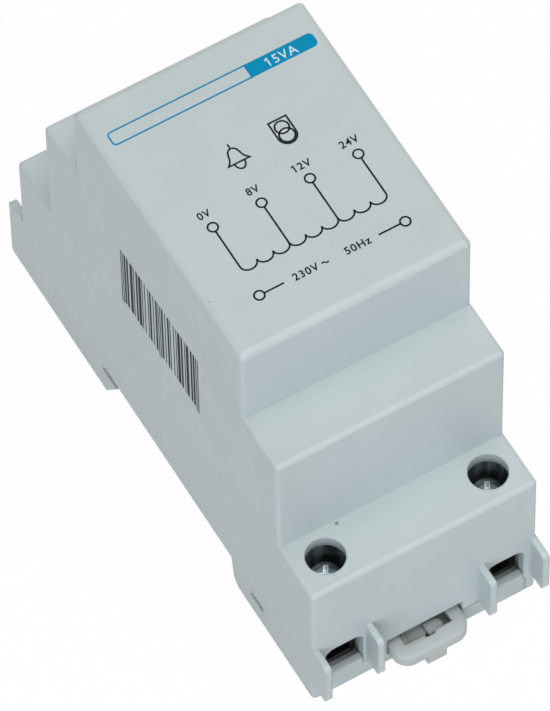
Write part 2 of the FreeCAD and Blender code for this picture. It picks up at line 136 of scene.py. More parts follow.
# A made-up half of the side pattern: bars and gaps in turn, in modules
SIDE_HALF = (1, 1, 1, 1, 2, 1, 2, 2, 3, 1, 1, 2, 2, 1, 3, 1, 1, 2, 1, 3, 1, 1, 2, 2, 1, 2, 2, 1)
# Place in metres, size and tint of each lamp
LAMPS = {
    "key": ((0.25, -0.28, 1.87), 1.2, (1.0, 0.995, 0.985)),
    "corner": ((-1.04, -1.35, 0.61), 1.5, (0.88, 0.94, 1.0)),
    "fill": ((1.05, 1.40, 0.34), 0.6, (0.97, 0.99, 1.0)),
}


def length(name, default, description):
    """A length whose default is given in millimetres."""
    return FloatProperty(
        name=name, description=description, default=default * MM, unit="LENGTH", precision=5
    )


def colour(name, default, description):
    return FloatVectorProperty(
        name=name,
        description=description,
        default=default,
        subtype="COLOR",
        size=3,
        min=0.0,
        max=1.0,
    )


def power(name, default, description):
    return FloatProperty(
        name=name, description=description, default=default, min=0.0, unit="POWER"
    )


def heading(name, default, description):
    return FloatVectorProperty(
        name=name, description=description, default=default, subtype="DIRECTION"
    )


class BellMouldings(bpy.types.PropertyGroup):
    cover_colour: colour("Cover", (0.515, 0.574, 0.580), "Cool light grey of the stepped cover")
    base_colour: colour("Base", (0.500, 0.552, 0.556), "Light grey of the base plate and its sills")
    clip_colour: colour("Rail clip", (0.470, 0.495, 0.490), "Warmer grey of the sliding clip")
    # The sleeves' dark colour stands in for the shade inside the screw wells: painted shade
    well_shade_colour: colour("Screw wells", (0.060, 0.070, 0.072), "Dark sleeves round the screw heads")
    edge_softness: length("Edge softness", 0.42, "Radius to which the moulded edges are eased")
    clip_edge: length("Clip edge", 0.2, "Rounding of the rail clip's edges")
    grain_size: length("Grain size", 0.16, "Size of the fine spark-eroded grain")
    # Reach of the painted shade that darkens hollows beside walls
    hollow_shade_reach: length("Hollow reach", 3.0, "How far a wall dulls the hollow beside it")
    well_radius: length("Well radius", 2.95, "Inner radius of a well, outside the cover's hole")
    well_wall: length("Well wall", 0.22, "Wall thickness of a screw well")
    well_top: length("Well top", 26.75, "Height at which a screw well meets the cover")
    well_edge: length("Well edge", 0.06, "Rounding of a screw well's rims")
    well_gap: length("Well gap", 0.05, "Gap between a screw well and the shelf under it")
    well_rim: length("Well rim", 0.5, "Height of the pale rim at a well's top")


class BellTerminals(bpy.types.PropertyGroup):
    # Head steel darker than real plating is painted shade; the bright recess steel is real wear and
    # a painted glint
    shaded_screw_colour: colour("Screws", (0.150, 0.190, 0.200), "Blue-zinc plated steel")
    wear_and_glint_colour: colour("Worn recess", (0.66, 0.70, 0.72), "Bright steel where the driver bites")
    # Clamps and contacts are darker than their metals: painted shade inside the wire windows
    shaded_clamp_colour: colour("Clamps", (0.105, 0.108, 0.108), "Dull zinc-plated folded steel")
    shaded_contact_colour: colour("Contacts", (0.15, 0.148, 0.138), "Brass strip under a dull tin coat")
    head_height: length("Head height", 1.9, "Height of the screw's cheese head")
    head_edge: length("Head edge", 0.4, "Rounding of the head's upper edge")
    head_land: length("Head land", 0.25, "Width of the ring inside the head's rounding")
    recess_width: length("Recess width", 0.48, "Width of the cross recess")
    flare_width: length("Flare width", 0.10, "Width of the worn flare round the recess")
    flare_depth: length("Flare depth", 0.03, "Depth of the worn flare round the recess")
    recess_length: length("Recess length", 3.0, "Length of the cross recess")
    recess_depth: length("Recess depth", 1.2, "Depth of the cross recess")
    thread_radius: length("Thread radius", 1.75, "Radius of the thread's crest")
    thread_pitch: length("Thread pitch", 0.6, "Rise of the screw's thread in one turn")
    thread_depth: length("Thread depth", 0.33, "Depth of the screw's thread")
    clamp_edge: length("Clamp edge", 0.14, "Rounding of the box clamps' edges")


class BellCoil(bpy.types.PropertyGroup):
    core_colour: colour("Core", (0.075, 0.077, 0.082), "Varnished edges of the laminations")
    bobbin_colour: colour("Bobbin", (0.66, 0.64, 0.57), "Natural nylon")
    copper_colour: colour("Winding", (0.42, 0.13, 0.045), "Enamelled copper wire")
    tape_colour: colour("Tape", (0.68, 0.40, 0.035), "Yellow polyester tape")
    capsule_colour: colour("Cut-out", (0.02, 0.02, 0.022), "Black capsule of the cut-out")
    lead_brown: colour("Line leads", (0.075, 0.030, 0.014), "Brown insulation")
    lead_white: colour("Bell leads", (0.62, 0.62, 0.58), "White insulation")
    sheet: length("Lamination", 0.5, "Thickness of one lamination")
    primary_wire: length("Line wire", 0.22, "Spacing of the line winding's turns")
    secondary_wire: length("Bell wire", 0.75, "Spacing of the bell winding's turns")


class BellPrint(bpy.types.PropertyGroup):
    ink_colour: colour("Ink", (0.012, 0.014, 0.016), "Black pad-printed ink")
    strip_colour: colour("Strip", (0.0012, 0.255, 0.455), "Blue pad-printed ink")
    rating_colour: colour("Rating", (0.64, 0.76, 0.80), "Pale figures on the blue block")
    film: length("Film", 0.015, "How far the ink stands off the plastic")
    line_width: length("Line width", 0.27, "Width of the circuit's lines")
    figure_weight: length("Figure weight", 0.034, "How far a figure's outline is spread")
    strip_line: length("Strip line", 0.25, "Width of the strip's outline")
    ring_radius: length("Ring radius", 0.72, "Radius of a terminal's ring")
    figure_height: length("Figure height", 1.16, "Height of the terminal figures")
    bar_module: length("Bar module", 0.2315, "Narrowest bar of the side pattern")


class BellStage(bpy.types.PropertyGroup):
    floor_colour: colour("Floor", (0.60, 0.60, 0.60), "Pale floor")
    floor_size: FloatProperty(
        name="Floor size", description="Side of the floor", default=8.0, unit="LENGTH"
    )
    world_strength: FloatProperty(
        name="Room light", description="Even light of the room", default=0.30, min=0.0
    )
    key_power: power("Key", 18.9, "Large lamp overhead")
    corner_power: power("Corner", 20.0, "Lamp at the near corner")
    fill_power: power("Fill", 6.5, "Low lamp behind the far corner")
    lens: FloatProperty(
        name="Lens", description="Focal length on a 36 mm frame, in mm", default=436.4, min=1.0
    )
    camera_place: FloatVectorProperty(
        name="Camera",
        description="Place of the camera",
        default=(-0.2964, -0.5306, 1.0482),
        subtype="XYZ",
        unit="LENGTH",
    )
    camera_right: heading("Camera right", (0.8631, -0.5049, -0.0118), "The picture's right")
    camera_up: heading("Camera up", (0.4400, 0.7403, 0.5083), "The picture's up")


GROUPS = {
    "bell_mouldings": BellMouldings,
    "bell_terminals": BellTerminals,
    "bell_coil": BellCoil,
    "bell_print": BellPrint,
    "bell_stage": BellStage,
}


# Materials


def add(tree, kind, inputs=None, **settings):
    """A new node with its settings and unlinked inputs set."""
    node = tree.nodes.new(kind)
    for key, value in settings.items():
        setattr(node, key, value)
    for key, value in (inputs or {}).items():
        node.inputs[key].default_value = value
    return node


def new_finish(name, roughness, metallic=0.0):
    """A material with its principled shader and a node for the piece's own coordinates."""
    material = bpy.data.materials.new(name)
    material.use_nodes = True
    tree = material.node_tree
    shader = tree.nodes["Principled BSDF"]
    shader.inputs["Roughness"].default_value = roughness
    shader.inputs["Metallic"].default_value = metallic
    place = add(tree, "ShaderNodeTexCoord").outputs["Object"]
    return material, tree, shader, place


def shade(value, share):
    return tuple(min(1.0, c * share) for c in value) + (1.0,)


def tone_ramp(tree, factor, stops):
    ramp = add(tree, "ShaderNodeValToRGB")
    ramp.color_ramp.elements[0].position = stops[0][0]
    ramp.color_ramp.elements[0].color = stops[0][1]
    ramp.color_ramp.elements[1].position = stops[-1][0]
    ramp.color_ramp.elements[1].color = stops[-1][1]
    for position, value in stops[1:-1]:
        ramp.color_ramp.elements.new(position).color = value
    tree.links.new(factor, ramp.inputs["Fac"])
    return ramp.outputs["Color"]


def noise(tree, place, size, detail=2.0):
    """Noise whose features are about as large as size, in metres."""
    node = add(
        tree, "ShaderNodeTexNoise", {"Scale": 1.0 / size, "Detail": detail, "Roughness": 0.55}
    )
    tree.links.new(place, node.inputs["Vector"])
    return node.outputs["Fac"]


def remap(tree, value, start, end, low, high):
    """Maps the range from start to end onto the range from low to high, and clamps the rest."""
    node = add(
        tree,
        "ShaderNodeMapRange",
        {"From Min": start, "From Max": end, "To Min": low, "To Max": high},
    )
    tree.links.new(value, node.inputs["Value"])
    return node.outputs["Result"]


def maths(tree, operation, *values):
    """A math node; each value is another node's output or a number."""
    node = add(tree, "ShaderNodeMath", operation=operation)
    for socket, value in zip(node.inputs, values):
        if isinstance(value, (int, float)):
            socket.default_value = value
        else:
            tree.links.new(value, socket)
    return node.outputs["Value"]


def blend(tree, factor, first, second):
    """Mixes two colours; each is another node's output or a fixed colour."""
    node = add(tree, "ShaderNodeMix", data_type="RGBA")
    tree.links.new(factor, node.inputs["Factor"])
    for name, value in (("A", first), ("B", second)):
        if isinstance(value, tuple):
            node.inputs[name].default_value = value
        else:
            tree.links.new(value, node.inputs[name])
    return node.outputs["Result"]


def spread(tree, factor, low, high):
    """Maps the middle of a noise to the range from low to high."""
    return remap(tree, factor, 0.3, 0.7, low, high)


def relief(tree, shader, height, strength, distance, normal=None):
    bump = add(tree, "ShaderNodeBump", {"Strength": strength, "Distance": distance})
    tree.links.new(height, bump.inputs["Height"])
    if normal is not None:
        tree.links.new(normal, bump.inputs["Normal"])
    tree.links.new(bump.outputs["Normal"], shader.inputs["Normal"])


def bands(tree, place, direction, pitch):
    """Even bands across one axis, one in each pitch."""
    wave = add(
        tree,
        "ShaderNodeTexWave",
        {"Scale": math.tau / (20.0 * pitch), "Distortion": 0.0, "Detail": 0.0},
        wave_type="BANDS",
        bands_direction=direction,
    )
    tree.links.new(place, wave.inputs["Vector"])
    return wave.outputs["Fac"]


def dark_spots(tree, place):
    """How dark each point is: scattered flecks and the specks of dirt."""
    spacing, fleck_core, fleck_edge = 4.2 * MM, 0.018, 0.04
    left_out, fleck_strength, speck_strength = 0.9, 0.6, 0.95
    cells = add(tree, "ShaderNodeTexVoronoi", {"Scale": 1.0 / spacing})
    tree.links.new(place, cells.inputs["Vector"])
    pick_by = add(tree, "ShaderNodeSeparateColor")
    tree.links.new(cells.outputs["Color"], pick_by.inputs["Color"])
    near = remap(tree, cells.outputs["Distance"], fleck_core, fleck_edge, 1.0, 0.0)
    chosen = maths(tree, "GREATER_THAN", pick_by.outputs["Red"], left_out)
    spots = maths(tree, "MULTIPLY", maths(tree, "MULTIPLY", near, chosen), fleck_strength)
    for *spot, radius in SPECKS:
        away = add(tree, "ShaderNodeVectorMath", {1: Vector(spot) * MM}, operation="DISTANCE")
        tree.links.new(place, away.inputs[0])
        reach = radius * MM
        speck = remap(tree, away.outputs["Value"], 0.6 * reach, reach, speck_strength, 0.0)
        spots = maths(tree, "MAXIMUM", spots, speck)
    return spots


def moulded_plastic(name, tint, mouldings, roughness, hollows=0.96):
    """Spark-eroded plastic: mottling, dark spots, painted shade in hollows, fine grain and eased
    edges.
    """
    material, tree, shader, place = new_finish(name, roughness)
    shader.inputs["Specular IOR Level"].default_value = 0.42
    mottle_size, sheen_size, sheen_range, grain_depth = 11 * MM, 1.6 * MM, 0.05, 0.02 * MM
    cloud = noise(tree, place, mottle_size, 4.0)
    mottle = tone_ramp(tree, cloud, [(0.30, shade(tint, 0.972)), (0.70, shade(tint, 1.022))])
    surface = blend(tree, dark_spots(tree, place), mottle, shade(tint, 0.03))
    # Ambient occlusion darkens the colour in hollows: painted shade, stronger the lower hollows is
    open_share = add(
        tree,
        "ShaderNodeAmbientOcclusion",
        {"Distance": mouldings.hollow_shade_reach},
        samples=8,
        only_local=True,
    )
    dull = blend(tree, open_share.outputs["AO"], shade(tint, hollows), surface)
    tree.links.new(dull, shader.inputs["Base Color"])
    patches = noise(tree, place, sheen_size, 3.0)
    sheen = spread(tree, patches, roughness - sheen_range, roughness + sheen_range)
    tree.links.new(sheen, shader.inputs["Roughness"])
    eased = add(tree, "ShaderNodeBevel", {"Radius": mouldings.edge_softness}, samples=6)
    grain = noise(tree, place, mouldings.grain_size, 2.0)
    relief(tree, shader, grain, 0.16, grain_depth, eased.outputs["Normal"])
    return material


def dark_plastic(name, tint):
    material, tree, shader, place = new_finish(name, 0.38)
    cloud = noise(tree, place, 0.9 * MM, 3.0)
    tint_out = tone_ramp(tree, cloud, [(0.3, shade(tint, 0.8)), (0.7, shade(tint, 1.3))])
    tree.links.new(tint_out, shader.inputs["Base Color"])
    relief(tree, shader, noise(tree, place, 0.12 * MM), 0.12, 0.02 * MM)
    return material


def well_plastic(name, tint, rim_tint, rim_height):
    """A dark bore, darkened as painted shade of the well, with upright pale bands that are painted
    reflections, under a pale rim.
    """
    rim_fade = 0.08 * MM
    material, tree, shader, place = new_finish(name, 0.34)
    upright = add(tree, "ShaderNodeMapping", {"Scale": (1.0, 1.0, 0.05)})
    tree.links.new(place, upright.inputs["Vector"])
    # Upright pale bands on the dark bore are painted reflections
    painted_reflections = noise(tree, upright.outputs["Vector"], 1.7 * MM, 1.0)
    stops = ((0.36, 0.3), (0.5, 0.8), (0.57, 2.6), (0.66, 0.6))
    bore = tone_ramp(tree, painted_reflections, [(position, shade(tint, share)) for position, share in stops])
    split = add(tree, "ShaderNodeSeparateXYZ")
    tree.links.new(place, split.inputs["Vector"])
    high = remap(tree, split.outputs["Z"], rim_height - rim_fade, rim_height, 0.0, 1.0)
    both = blend(tree, high, bore, shade(rim_tint, 0.95))
    tree.links.new(both, shader.inputs["Base Color"])
    relief(tree, shader, noise(tree, place, 0.12 * MM), 0.12, 0.02 * MM)
    return material


def plated_steel(name, tint, roughness, stretch):
    """Plated metal with a faint drawn grain along the axes that stretch makes long."""
    material, tree, shader, place = new_finish(name, roughness, 1.0)
    turn = add(tree, "ShaderNodeMapping", {"Scale": stretch})
    tree.links.new(place, turn.inputs["Vector"])
    drawn = noise(tree, turn.outputs["Vector"], 0.10 * MM, 3.0)
    cloud = noise(tree, place, 1.1 * MM, 3.0)
    tint_out = tone_ramp(
        tree, cloud, [(0.3, shade(tint, 0.82)), (0.55, shade(tint, 1.0)), (0.75, shade(tint, 1.18))]
    )
    tree.links.new(tint_out, shader.inputs["Base Color"])
    sheen = spread(tree, drawn, 0.75 * roughness, 1.35 * roughness)
    tree.links.new(sheen, shader.inputs["Roughness"])
    relief(tree, shader, drawn, 0.10, 0.01 * MM)
    return material


def laminated_steel(name, tint, pitch):
    material, tree, shader, place = new_finish(name, 0.45, 0.6)
    sheets = bands(tree, place, "X", pitch)
    cloud = noise(tree, place, 2.5 * MM, 4.0)
    mixed = maths(tree, "MULTIPLY", sheets, cloud)
    tint_out = tone_ramp(tree, mixed, [(0.05, shade(tint, 0.45)), (0.6, shade(tint, 1.5))])
    tree.links.new(tint_out, shader.inputs["Base Color"])
    relief(tree, shader, sheets, 0.5, 0.04 * MM)
    return material


def wound_wire(name, tint, pitch):
    material, tree, shader, place = new_finish(name, 0.32, 0.85)
    turns = bands(tree, place, "Y", pitch)
    # Dark grooves and bright crowns across the turns: painted shade and painted highlight
    tint_out = tone_ramp(
        tree, turns, [(0.0, shade(tint, 0.35)), (0.6, shade(tint, 1.0)), (1.0, shade(tint, 1.4))]
    )
    tree.links.new(tint_out, shader.inputs["Base Color"])
    relief(tree, shader, turns, 0.8, 0.5 * pitch)
    return material


def soft_plastic(name, tint, roughness, size):
    """Smooth insulation, tape or nylon, with slow changes of tone and a slightly uneven surface."""
    material, tree, shader, place = new_finish(name, roughness)
    cloud = noise(tree, place, size, 3.0)
    tint_out = tone_ramp(tree, cloud, [(0.3, shade(tint, 0.9)), (0.7, shade(tint, 1.08))])
    tree.links.new(tint_out, shader.inputs["Base Color"])
    sheen = spread(tree, cloud, roughness - 0.06, roughness + 0.08)
    tree.links.new(sheen, shader.inputs["Roughness"])
    relief(tree, shader, noise(tree, place, 0.3 * size), 0.12, 0.05 * MM)
    return material


def printed_ink(name, tint):
    """Pad-printed ink: thin, matt and a little uneven."""
    material, tree, shader, place = new_finish(name, 0.55)
    film = noise(tree, place, 0.35 * MM, 3.0)
    shader.inputs["Specular IOR Level"].default_value = 0.06
    tint_out = tone_ramp(
        tree, film, [(0.25, shade(tint, 1.1)), (0.6, shade(tint, 1.0)), (0.8, shade(tint, 0.88))]
    )
    tree.links.new(tint_out, shader.inputs["Base Color"])
    tree.links.new(spread(tree, film, 0.48, 0.62), shader.inputs["Roughness"])
    relief(tree, shader, noise(tree, place, 0.16 * MM), 0.12, 0.01 * MM)
    return material


# Modelling


def leave_all():
    """Leaves edit mode and selects nothing, so that the next operator acts on one piece."""
    if bpy.context.object is not None and bpy.context.object.mode != "OBJECT":
        bpy.ops.object.mode_set(mode="OBJECT")
    bpy.ops.object.select_all(action="DESELECT")


def only(piece):
    leave_all()
    piece.select_set(True)
    bpy.context.view_layer.objects.active = piece


def settle(piece):
    """Puts the piece's place into its mesh and leaves the object at the origin."""
    only(piece)
    bpy.ops.object.transform_apply(location=True, rotation=True, scale=True)


def pick(kind, test):
    """In edit mode, selects only the faces or edges that pass the test."""
    bpy.ops.mesh.select_mode(type=kind)
    bpy.ops.mesh.select_all(action="DESELECT")
    mesh = bpy.context.edit_object.data
    book = bmesh.from_edit_mesh(mesh)
    found = 0
    for item in book.faces if kind == "FACE" else book.edges:
        chosen = test(item)
        item.select_set(chosen)
        found += chosen
    book.select_flush_mode()
    bmesh.update_edit_mesh(mesh)
    if not found:
        raise RuntimeError("nothing to shape on " + bpy.context.edit_object.name)


def apply_modifier(piece, kind, **settings):
    only(piece)
    modifier = piece.modifiers.new(kind.title(), kind)
    for key, value in settings.items():
        setattr(modifier, key, value)
    bpy.ops.object.modifier_apply(modifier=modifier.name)


def round_edges(piece, width, angle):
    """Rounds the edges that are sharper than an angle in degrees."""
    apply_modifier(
        piece,
        "BEVEL",
        width=width,
        segments=2,
        limit_method="ANGLE",
        angle_limit=math.radians(angle),
    )


def joined(pieces):
    leave_all()
    for piece in pieces:
        piece.select_set(True)
    bpy.context.view_layer.objects.active = pieces[0]
    if len(pieces) > 1:
        bpy.ops.object.join()
    return bpy.context.object


def own_copy(piece):
    only(piece)
    bpy.ops.object.duplicate(linked=False)
    return bpy.context.object


def close_shell(piece):
    """Merges doubles, drops flat faces, turns the faces outwards and shades by angle."""
    only(piece)
    bpy.ops.object.mode_set(mode="EDIT")
    bpy.ops.mesh.select_all(action="SELECT")
    bpy.ops.mesh.remove_doubles(threshold=MERGED)
    bpy.ops.mesh.dissolve_degenerate(threshold=SLACK)
    bpy.ops.mesh.select_all(action="SELECT")
    bpy.ops.mesh.normals_make_consistent(inside=False)
    bpy.ops.object.mode_set(mode="OBJECT")
    bpy.ops.object.shade_smooth_by_angle(angle=math.radians(35))


def dress(piece, name, body, material, instead_of=None):
    """Names a finished piece, gives it its material if one is named, and lets it ride."""
    settle(piece)
    piece.name = name
    piece.data.name = name
    if material:
        piece.data.materials.clear()
        piece.data.materials.append(material)
    if instead_of:
        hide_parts(instead_of)
    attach(piece, body)


def coat(node, material):
    """Gives a CAD node its finish and leaves its mesh alone."""
    mesh = frame["nodes"][node].data
    mesh.materials.clear()
    mesh.materials.append(material)


def eased_copy(node, width):
    """A merged copy of a CAD node with its sharp edges rounded."""
    piece = own_copy(frame["nodes"][node])
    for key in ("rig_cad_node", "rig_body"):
        if key in piece:
            del piece[key]
    piece.parent = None
    only(piece)
    bpy.ops.object.mode_set(mode="EDIT")
    bpy.ops.mesh.select_all(action="SELECT")
    bpy.ops.mesh.remove_doubles(threshold=SLACK)
    bpy.ops.mesh.dissolve_limited(angle_limit=math.radians(0.5))
    bpy.ops.mesh.normals_make_consistent(inside=False)
    bpy.ops.object.mode_set(mode="OBJECT")
    round_edges(piece, width, 40)
    bpy.ops.object.shade_smooth_by_angle(angle=math.radians(30))
    return piece


def middle(node):
    low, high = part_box(node)
    return (low + high) / 2


class BELL_OT_mouldings(bpy.types.Operator):
    """Finishes the cover, the base and the rail clip"""

    bl_idname = "bell.mouldings"
    bl_label = "Mouldings"

    def execute(self, context):
        sizes = context.scene.bell_mouldings
        coat("cover", moulded_plastic("cover satin plastic", sizes.cover_colour, sizes, 0.46))
        coat("base", moulded_plastic("base satin plastic", sizes.base_colour, sizes, 0.48))
        # The clip's low hollows share paints strong shade into its slot and beside its catch
        clip_finish = moulded_plastic("clip satin plastic", sizes.clip_colour, sizes, 0.42, 0.08)
        clip = eased_copy("din_clip", sizes.clip_edge)
        dress(clip, "rail_clip_moulding", "rail_clip", clip_finish, "din_clip")
        return {"FINISHED"}


class BELL_OT_screw_wells(bpy.types.Operator):
    """Adds a dark sleeve round each screw head, between the shelf and the cover, that paints shade
    into the well
    """

    bl_idname = "bell.screw_wells"
    bl_label = "Screw wells"

    def execute(self, context):
        sizes = context.scene.bell_mouldings
        rim = sizes.well_top - sizes.well_rim
        finish = well_plastic("well plastic", sizes.well_shade_colour, sizes.cover_colour, rim)
        low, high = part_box("base")[1].z + sizes.well_gap, sizes.well_top
        leave_all()
        bpy.ops.mesh.primitive_cylinder_add(
            vertices=48,
            radius=sizes.well_radius,
            depth=high - low,
            end_fill_type="NOTHING",
            location=(0, 0, (low + high) / 2),
        )
        sleeve = bpy.context.object
        settle(sleeve)
        apply_modifier(sleeve, "SOLIDIFY", thickness=sizes.well_wall, offset=1.0)
        round_edges(sleeve, sizes.well_edge, 60)
        close_shell(sleeve)
        for group, number in TERMINALS:
            copy = own_copy(sleeve)
            at = middle(f"{group}_screw_{number}")
            copy.location = (at.x, at.y, 0.0)
            dress(copy, f"{group}_screw_well_{number}", "housing", finish)
        bpy.data.objects.remove(sleeve)
        return {"FINISHED"}


def cross_bar(width, long, deep, top, turned, narrowing):
    """One bar of the cross recess, narrower all round at its floor."""
    leave_all()
    bpy.ops.mesh.primitive_cube_add(size=1.0, location=(0, 0, top))
    bar = bpy.context.object
    bar.scale = (width, long, 2 * deep) if turned else (long, width, 2 * deep)
    settle(bar)
    bpy.ops.object.mode_set(mode="EDIT")
    pick("FACE", lambda face: face.normal.z < -0.9)
    shares = [1.0 - narrowing / side for side in bar.dimensions.xy]
    bpy.ops.transform.resize(value=(*shares, 1.0))
    bpy.ops.object.mode_set(mode="OBJECT")
    return bar


def screw_head(sizes, radius, top, finish, worn):
    """A cheese head with a flared cross recess that the driver has worn bright; the bright recess
    is partly wear and partly a painted glint.
    """
    leave_all()
    bpy.ops.mesh.primitive_cylinder_add(
        vertices=64,
        radius=radius,
        depth=sizes.head_height,
        location=(0, 0, top - sizes.head_height / 2),
    )
    head = bpy.context.object
    settle(head)
    bpy.ops.object.mode_set(mode="EDIT")
    pick("EDGE", lambda edge: all(v.co.z > top - SLACK for v in edge.verts))
    bpy.ops.mesh.bevel(offset=sizes.head_edge, segments=4, affect="EDGES")
    pick("FACE", lambda face: face.normal.z > 0.99)
    bpy.ops.mesh.inset(thickness=sizes.head_land)
    bpy.ops.object.mode_set(mode="OBJECT")
    # Each cutter stands half above the head, so half of its narrowing is in the cut
    wide, long, flare = sizes.recess_width, sizes.recess_length, 4 * sizes.flare_width
    cuts = (
        (wide + flare, long + flare, sizes.flare_depth, flare),
        (wide, long, sizes.recess_depth, 0.3 * wide),
    )
    cutters = [
        cross_bar(across, along, deep, top, turned, narrowing)
        for across, along, deep, narrowing in cuts
        for turned in (False, True)
    ]
    for cutter in cutters:
        apply_modifier(head, "BOOLEAN", operation="DIFFERENCE", solver="EXACT", object=cutter)
        bpy.data.objects.remove(cutter)
    # The second material, on the recess, is wear and a painted glint
    head.data.materials.append(finish)
    head.data.materials.append(worn)
    reach, floor = 0.55 * sizes.recess_length, top - 1.05 * sizes.recess_depth
    for face in head.data.polygons:
        inside = face.center.xy.length < reach and floor < face.center.z < top - SLACK
        face.material_index = 1 if inside else 0
    return head


def screw_thread(sizes, crest, low, high):
    """A helical thread from low to just inside the head, closed at both ends."""
    root = crest - sizes.thread_depth
    pitch, around = sizes.thread_pitch, 20
    leave_all()
    bpy.ops.mesh.primitive_plane_add(size=MM)
    thread = bpy.context.object
    bpy.ops.object.mode_set(mode="EDIT")
    bpy.ops.mesh.merge(type="CENTER")
    bpy.ops.transform.translate(value=(root, 0, low))
    flat = 0.125 * pitch
    rise = (pitch - 2 * flat) / 2
    for step in ((crest - root, 0, rise), (0, 0, flat), (root - crest, 0, rise), (0, 0, flat)):
        bpy.ops.mesh.extrude_vertices_move(TRANSFORM_OT_translate={"value": step})
    bpy.ops.object.mode_set(mode="OBJECT")
    turns = int((high - low) / pitch) - 1
    apply_modifier(
        thread,
        "SCREW",
        axis="Z",
        angle=math.tau,
        screw_offset=pitch,
        iterations=turns,
        steps=around,
        render_steps=around,
        use_merge_vertices=True,
        merge_threshold=MERGED,
    )
    bpy.ops.object.mode_set(mode="EDIT")
    bpy.ops.mesh.select_all(action="SELECT")
    bpy.ops.mesh.remove_doubles(threshold=2 * SLACK)
    bpy.ops.mesh.select_all(action="SELECT")
    bpy.ops.mesh.fill_holes(sides=0)
    bpy.ops.object.mode_set(mode="OBJECT")
    return thread


class BELL_OT_clamp_screws(bpy.types.Operator):
    """Models one threaded clamp screw with its cross recess and copies it to the six terminals"""

    bl_idname = "bell.clamp_screws"
    bl_label = "Clamp screws"

    def execute(self, context):
        sizes = context.scene.bell_terminals
        # Dark head steel is painted shade; the brighter recess steel is wear and a painted glint
        finish = plated_steel("zinc-plated screw", sizes.shaded_screw_colour, 0.16, (1.0, 1.0, 0.25))
        worn = plated_steel("worn screw edge", sizes.wear_and_glint_colour, 0.22, (1.0, 1.0, 1.0))
        low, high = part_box("primary_screw_1")
        head = screw_head(sizes, (high.x - low.x) / 2, high.z, finish, worn)
        inside_head = high.z - sizes.head_height / 2
        thread = screw_thread(sizes, sizes.thread_radius, low.z, inside_head)
        thread.data.materials.append(finish)
        for piece in (head, thread):
            close_shell(piece)
        screw = joined([head, thread])
        first, step = SCREW_TURN
        for count, (group, number) in enumerate(TERMINALS):
            node, body = f"{group}_screw_{number}", f"{group}_screw_body_{number}"
            copy = own_copy(screw)
            at = middle(node)
            copy.location = (at.x, at.y, 0.0)
            copy.rotation_euler = (0.0, 0.0, math.radians(first + step * count))
            dress(copy, f"{group}_clamp_screw_{number}", body, None, node)
        bpy.data.objects.remove(screw)
        return {"FINISHED"}


class BELL_OT_clamps(bpy.types.Operator):
    """Eases the folded box clamps, and gives them and the contact bars their metals"""

    bl_idname = "bell.clamps"
    bl_label = "Clamps and contacts"

    def execute(self, context):
        sizes = context.scene.bell_terminals
        # Both metals are darkened as painted shade inside the wire windows
        clamp_finish = plated_steel("zinc-plated clamp", sizes.shaded_clamp_colour, 0.30, (1.0, 0.2, 1.0))
        bar_finish = plated_steel("tinned brass bar", sizes.shaded_contact_colour, 0.34, (1.0, 0.2, 1.0))
        for group, number in TERMINALS:
            node, body = f"{group}_clamp_{number}", f"{group}_clamp_body_{number}"
            name = f"{group}_box_clamp_{number}"
            clamp = eased_copy(node, sizes.clamp_edge)
            dress(clamp, name, body, clamp_finish, node)
            coat(f"{group}_contact_{number}", bar_finish)
        return {"FINISHED"}


class BELL_OT_transformer(bpy.types.Operator):
    """Finishes the laminated core, the bobbin, the windings and the leads inside"""

    bl_idname = "bell.transformer"
    bl_label = "Transformer"

    def execute(self, context):
        sizes = context.scene.bell_coil
        core = laminated_steel("varnished laminations", sizes.core_colour, sizes.sheet)
        copper = sizes.copper_colour
        tape = soft_plastic("polyester tape", sizes.tape_colour, 0.30, 3.0 * MM)
        finishes = {
            "core_e_stack": core,
            "core_i_stack": core,
            "bobbin": soft_plastic("natural nylon", sizes.bobbin_colour, 0.45, 4.0 * MM),
            "primary_winding": wound_wire("line winding", copper, sizes.primary_wire),
            "secondary_winding": wound_wire("bell winding", copper, sizes.secondary_wire),
            "primary_tape": tape,
            "secondary_tape": tape,
            "thermal_cutout": dark_plastic("cut-out capsule", sizes.capsule_colour),
        }
        brown = soft_plastic("brown insulation", sizes.lead_brown, 0.35, 2.0 * MM)
        white = soft_plastic("white insulation", sizes.lead_white, 0.38, 2.0 * MM)
        for group, number in TERMINALS:
            finishes[f"{group}_lead_{number}"] = brown if group == "primary" else white
        for node, finish in finishes.items():
            coat(node, finish)
        return {"FINISHED"}


# Print


def on_front(points, lift=0.0):
    """Points given in millimetres, as places just under the front face."""
    return [Vector((x * MM, y * MM, FRONT_Z - INK_SINK + lift)) for x, y in points]


def ink_chain(points, rise, width, closed=False):
    """A printed line: a chain of edges, raised by the film and widened to its stroke."""
    leave_all()
    bpy.ops.mesh.primitive_plane_add(size=MM)
    piece = bpy.context.object
    bpy.ops.object.mode_set(mode="EDIT")
    bpy.ops.mesh.merge(type="CENTER")
    bpy.ops.transform.translate(value=points[0])
    ends = list(points[1:]) + ([points[0]] if closed else [])
    before = points[0]
    for point in ends:
        bpy.ops.mesh.extrude_vertices_move(TRANSFORM_OT_translate={"value": point - before})
        before = point
    bpy.ops.mesh.select_all(action="SELECT")
    bpy.ops.mesh.remove_doubles(threshold=MERGED)
    bpy.ops.mesh.select_all(action="SELECT")
    bpy.ops.mesh.extrude_edges_move(TRANSFORM_OT_translate={"value": rise})
    bpy.ops.object.mode_set(mode="OBJECT")
    apply_modifier(piece, "SOLIDIFY", thickness=width, offset=0.0, use_even_offset=True)
    return piece


def front_line(points, sizes, width=None, closed=False, lift=0.0):
    rise = Vector((0, 0, sizes.film))
    return ink_chain(on_front(points, lift), rise, width or sizes.line_width, closed)


